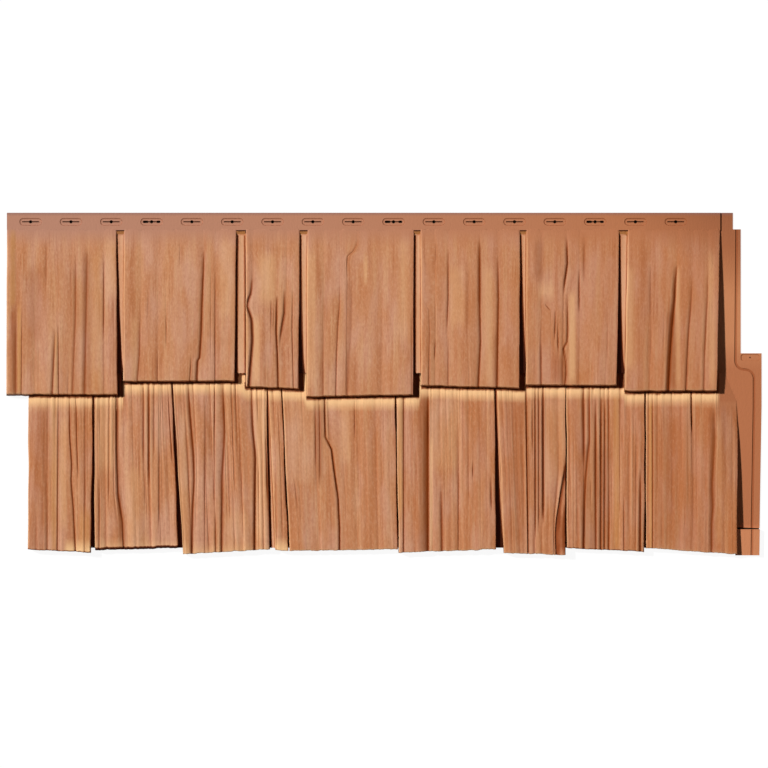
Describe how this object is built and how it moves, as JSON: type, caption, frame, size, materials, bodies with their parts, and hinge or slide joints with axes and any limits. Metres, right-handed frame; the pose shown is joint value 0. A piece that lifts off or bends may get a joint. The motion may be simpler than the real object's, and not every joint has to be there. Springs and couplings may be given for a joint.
{
  "type": "shake siding panel",
  "caption": "Moulded plastic wall siding panel with courses of wood-look shakes, a slotted nailing flange along the top and a thin lap flange with a drain groove at one end.",
  "frame": {"origin": "middle of the panel's footprint, on the wall plane behind it", "axes": "+X along the courses towards the lap flange, +Y up the wall towards the nailing flange, +Z out of the wall"},
  "size_m": [1.051, 0.4766, 0.0197],
  "materials": {
    "moulded_polypropylene": "moulded wood grain in a streaked cedar brown, matt"
  },
  "bodies": {
    "root": {"panel": "moulded_polypropylene"}
  },
  "joints": []
}
